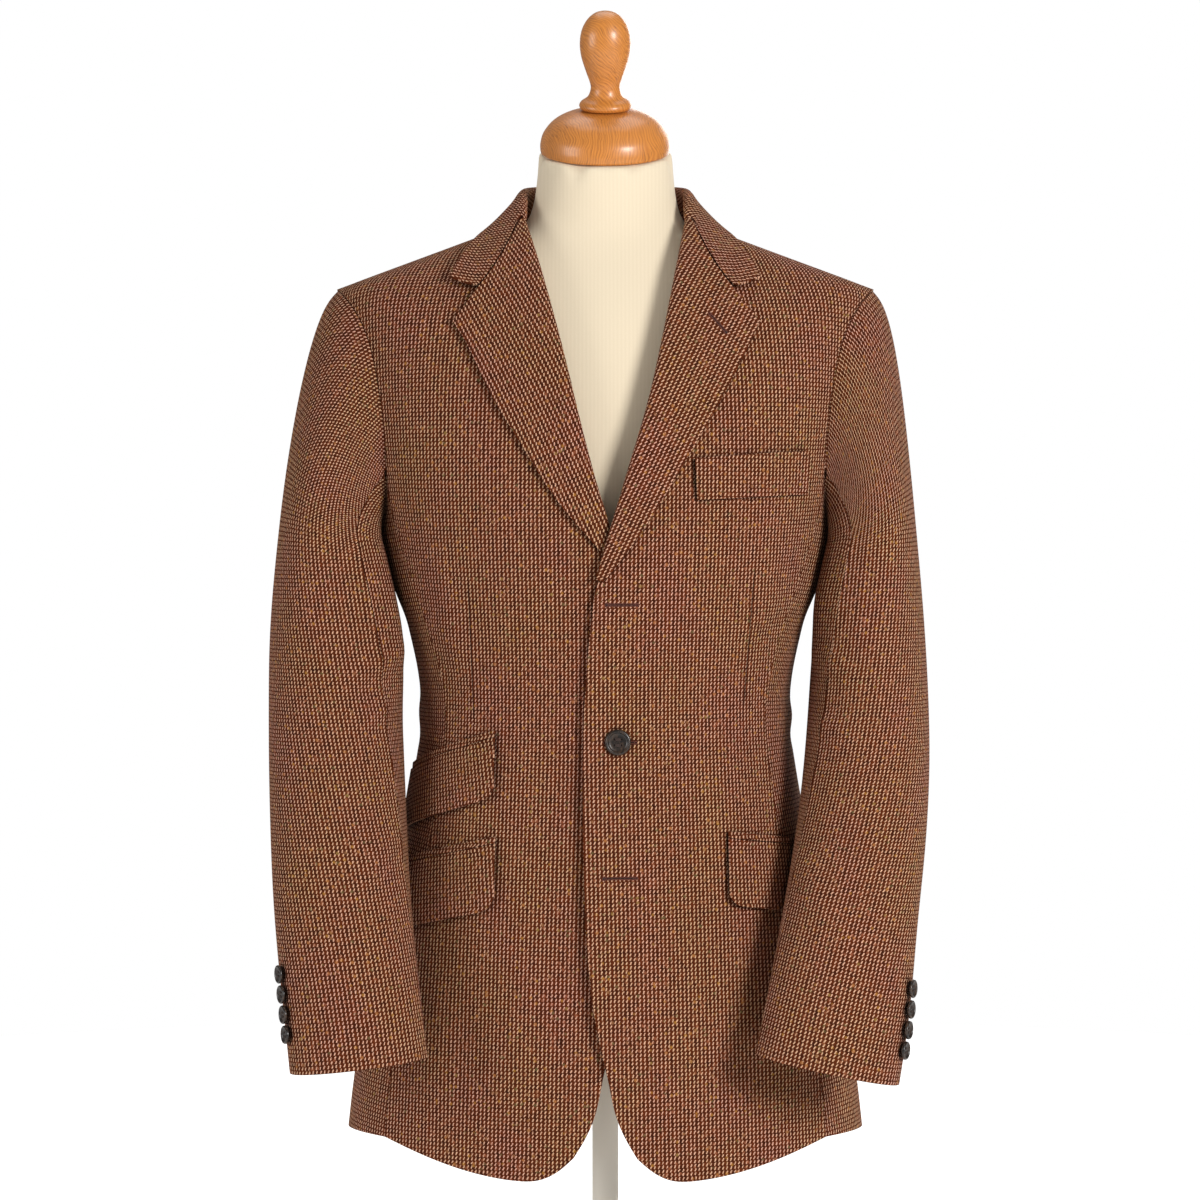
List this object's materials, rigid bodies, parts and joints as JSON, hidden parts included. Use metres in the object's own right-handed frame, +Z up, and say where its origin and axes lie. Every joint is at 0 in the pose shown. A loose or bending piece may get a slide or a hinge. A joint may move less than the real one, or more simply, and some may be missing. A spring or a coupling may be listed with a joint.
{
  "type": "tweed hunting jacket on a dress form",
  "caption": "Single-breasted notch-lapel tweed hunting jacket with slanted flap pockets, worn open-necked on a limbless dress form with a turned wooden neck cap and pole stand.",
  "frame": {"origin": "floor, under the centre of the round base", "axes": "+Z up along the pole, -Y the way the jacket faces, +X towards the wearer's left"},
  "size_m": [0.5526, 0.346, 1.1051],
  "materials": {
    "tweed": "woven wool, brown with tan ticks",
    "horn": "polished dark horn",
    "form_cover": "smooth cream jersey",
    "beech": "varnished",
    "enamel": "satin cream enamel"
  },
  "bodies": {
    "root": {"front_left": "tweed", "front_right": "tweed", "side_left": "tweed", "side_right": "tweed", "back_left": "tweed", "back_right": "tweed", "lapel_left": "tweed", "lapel_right": "tweed", "sleeve_top_left": "tweed", "sleeve_top_right": "tweed", "sleeve_under_left": "tweed", "sleeve_under_right": "tweed", "collar": "tweed", "breast_welt": "tweed", "flap_ticket": "tweed", "jet_ticket": "tweed", "flap_left": "tweed", "jet_left": "tweed", "flap_right": "tweed", "jet_right": "tweed", "front_button": "horn", "cuff_button_left_1": "horn", "cuff_button_left_2": "horn", "cuff_button_left_3": "horn", "cuff_button_left_4": "horn", "cuff_button_right_1": "horn", "cuff_button_right_2": "horn", "cuff_button_right_3": "horn", "cuff_button_right_4": "horn", "form_torso": "form_cover", "neck_cap": "beech", "neck_knob": "beech", "stand_pole": "enamel", "stand_base": "enamel"}
  },
  "joints": []
}
